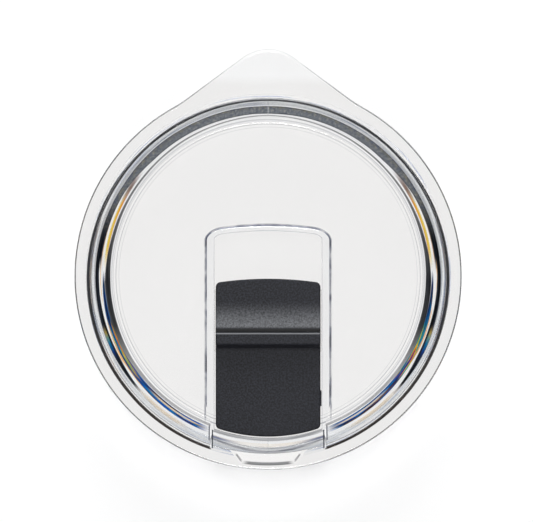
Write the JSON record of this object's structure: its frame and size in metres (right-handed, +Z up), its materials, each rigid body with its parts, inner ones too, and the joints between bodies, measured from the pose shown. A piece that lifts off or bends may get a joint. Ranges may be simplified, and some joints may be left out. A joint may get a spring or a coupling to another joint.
{
  "type": "tumbler lid",
  "caption": "Press-in tumbler lid: clear moulded body with a thumb tab and round well, a silicone mouth gasket, and a charcoal slider that covers the drink hole.",
  "frame": {"origin": "on the plug's axis at the underside of the floor, the face that the lid rests on", "axes": "+Z up out of the cup along the plug's axis, +Y to the thumb tab, -Y to the sip side, +X to the right"},
  "size_m": [0.09, 0.0977, 0.015],
  "materials": {
    "clear_plastic": "clear, polished",
    "clear_silicone": "translucent, satin",
    "charcoal_plastic": "fine matte texture",
    "grey_silicone": "satin"
  },
  "bodies": {
    "lid": {"lid_body": "clear_plastic", "mouth_gasket": "clear_silicone"},
    "slide_cover": {"slider": "charcoal_plastic", "slider_seal": "grey_silicone"}
  },
  "joints": [
    {"name": "slider_slide", "type": "slide", "parent": "lid", "child": "slide_cover", "axis": [0, 1, 0], "range_m": [0, 0.0108]}
  ]
}
